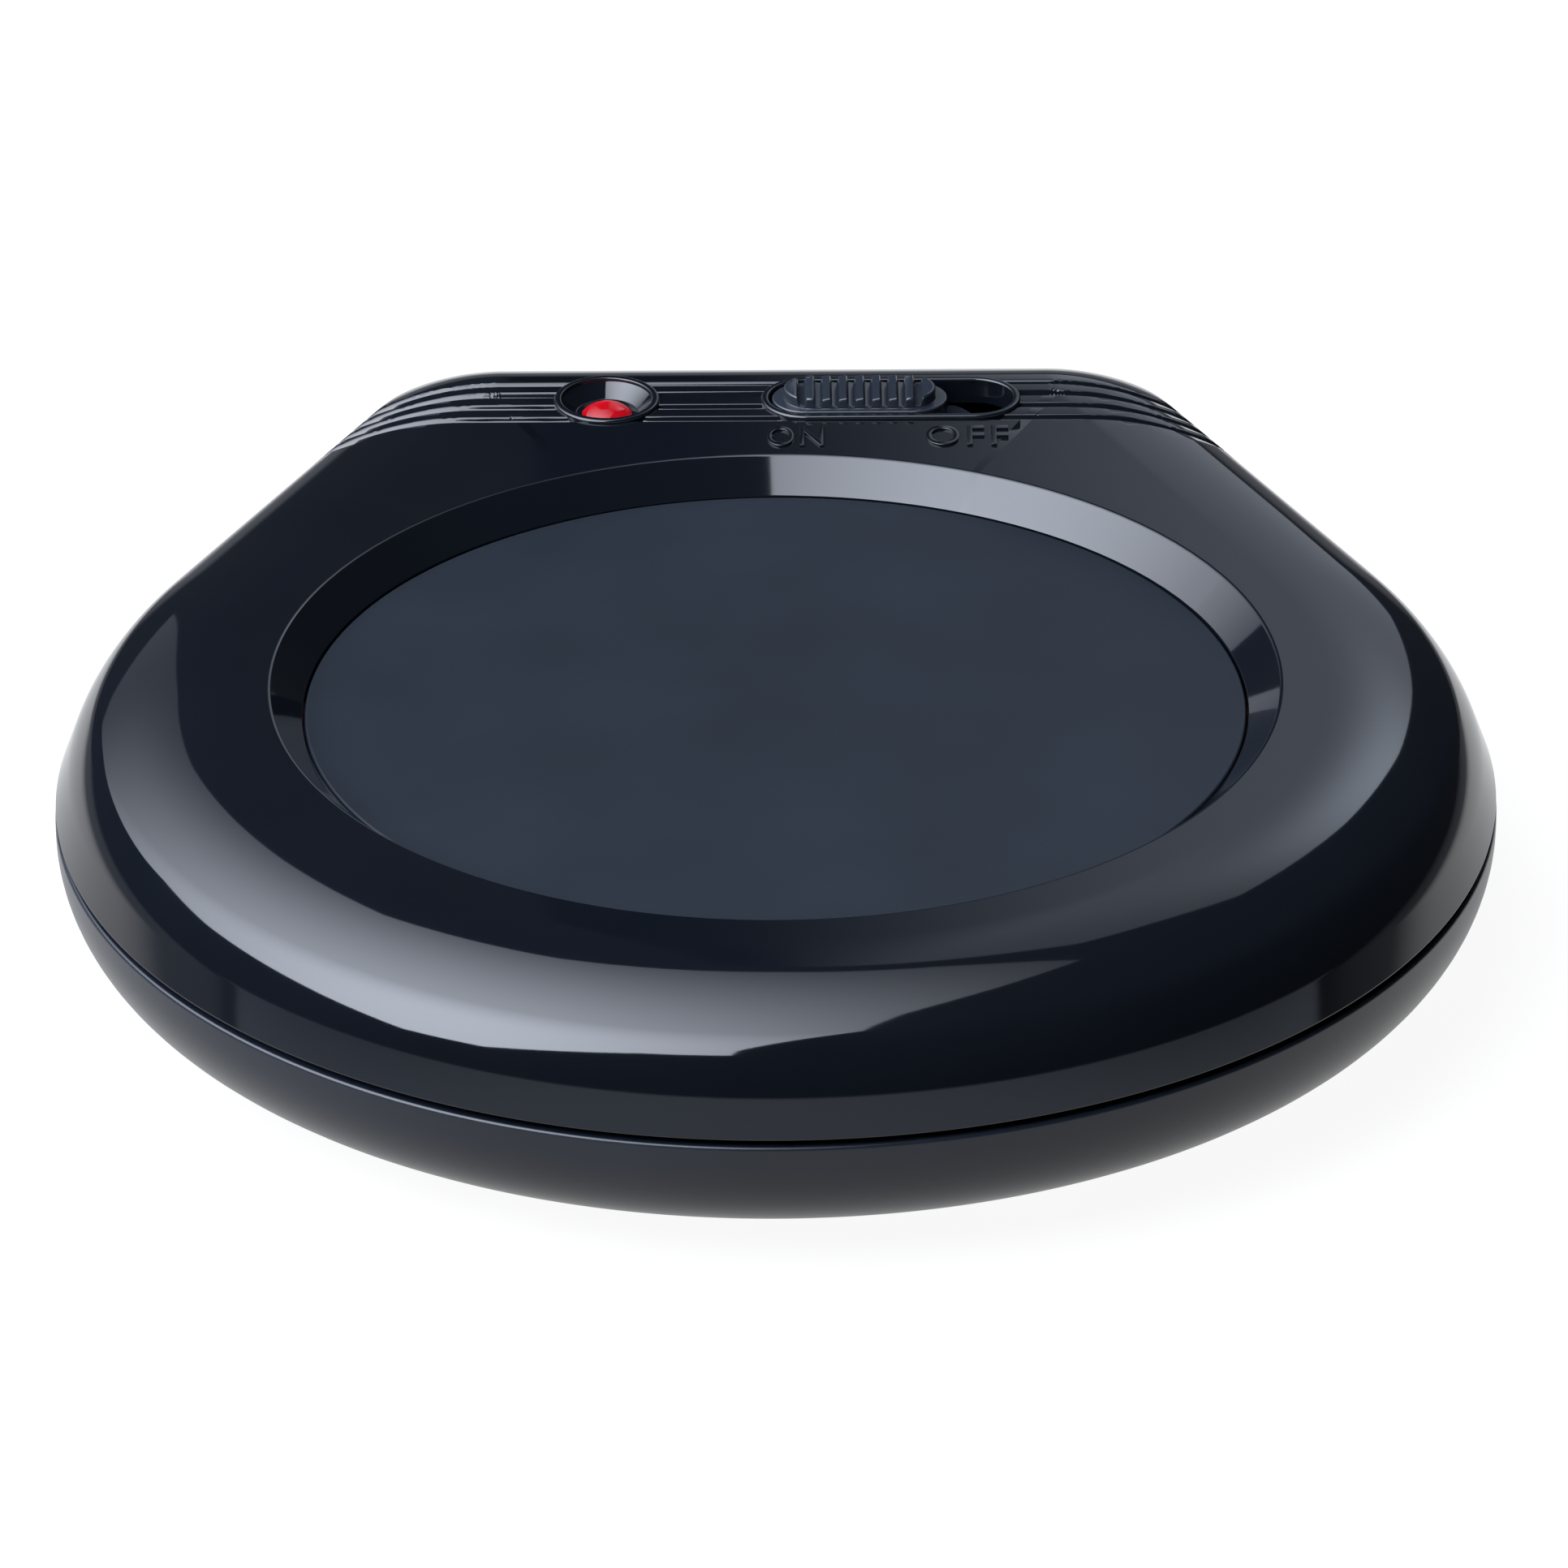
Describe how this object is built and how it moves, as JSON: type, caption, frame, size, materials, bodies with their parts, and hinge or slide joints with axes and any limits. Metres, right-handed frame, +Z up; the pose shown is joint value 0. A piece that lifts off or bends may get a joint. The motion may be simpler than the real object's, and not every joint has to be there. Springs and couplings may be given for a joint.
{
  "type": "electric mug warmer",
  "caption": "Low round electric mug warmer with a recessed heating plate, a flat back with a slide switch, and an indicator lamp.",
  "frame": {"origin": "centre of the footprint's bounding box, on the surface that the rubber feet stand on", "axes": "+Z up, +Y towards the flat back with the switch and the cord inlet, +X to the right seen from the front"},
  "size_m": [0.1326, 0.142, 0.0279],
  "materials": {
    "cover": "gloss moulded",
    "base": "satin moulded",
    "plate": "satin non-stick coating",
    "knob": "gloss moulded",
    "rubber": "matte",
    "seal": "matte silicone",
    "mica": "laminated mica",
    "heater": "mica card wound with resistance ribbon",
    "wool": "needled fibre",
    "steel": "zinc plated sheet",
    "screw": "zinc plated",
    "brass": "plain",
    "phenolic": "moulded phenolic",
    "nylon": "natural nylon",
    "lens": "clear red",
    "bulb": "clear glass",
    "ceramic": "lacquered",
    "sleeve": "woven glass sleeve",
    "lead_black": "insulated wire",
    "lead_white": "insulated wire"
  },
  "bodies": {
    "housing": {"top_cover": "cover", "base_shell": "base", "heating_plate": "plate", "plate_seal": "seal", "upper_mica_sheet": "mica", "heater_card": "heater", "lower_mica_sheet": "mica", "insulation_pad": "wool", "heater_tabs": "brass", "clamp_plate": "steel", "clamp_screws": "screw", "thermal_fuse": "sleeve", "fuse_strap": "steel", "strap_rivets": "screw", "switch_frame": "steel", "switch_screws": "screw", "switch_housing": "phenolic", "live_contact": "brass", "switched_contact": "brass", "indicator_lens": "lens", "neon_lamp": "bulb", "lamp_leads": "steel", "lamp_cap": "nylon", "lamp_resistor": "ceramic", "terminal_block": "nylon", "terminal_screws": "brass", "block_fixing_screw": "screw", "base_screws": "screw", "cord_bushing": "rubber", "rubber_foot_front_left": "rubber", "rubber_foot_front_right": "rubber", "rubber_foot_rear_left": "rubber", "rubber_foot_rear_right": "rubber", "live_lead": "lead_black", "switched_lead": "lead_black", "fuse_lead": "lead_black", "neutral_lead": "lead_white", "lamp_live_lead": "lead_black", "lamp_neutral_lead": "lead_white"},
    "slide": {"switch_knob": "knob", "switch_slider": "nylon", "contact_bridge": "brass"}
  },
  "joints": [
    {"name": "knob_slide", "type": "slide", "parent": "housing", "child": "slide", "axis": [1, 0, 0], "range_m": [0, 0.006]}
  ]
}
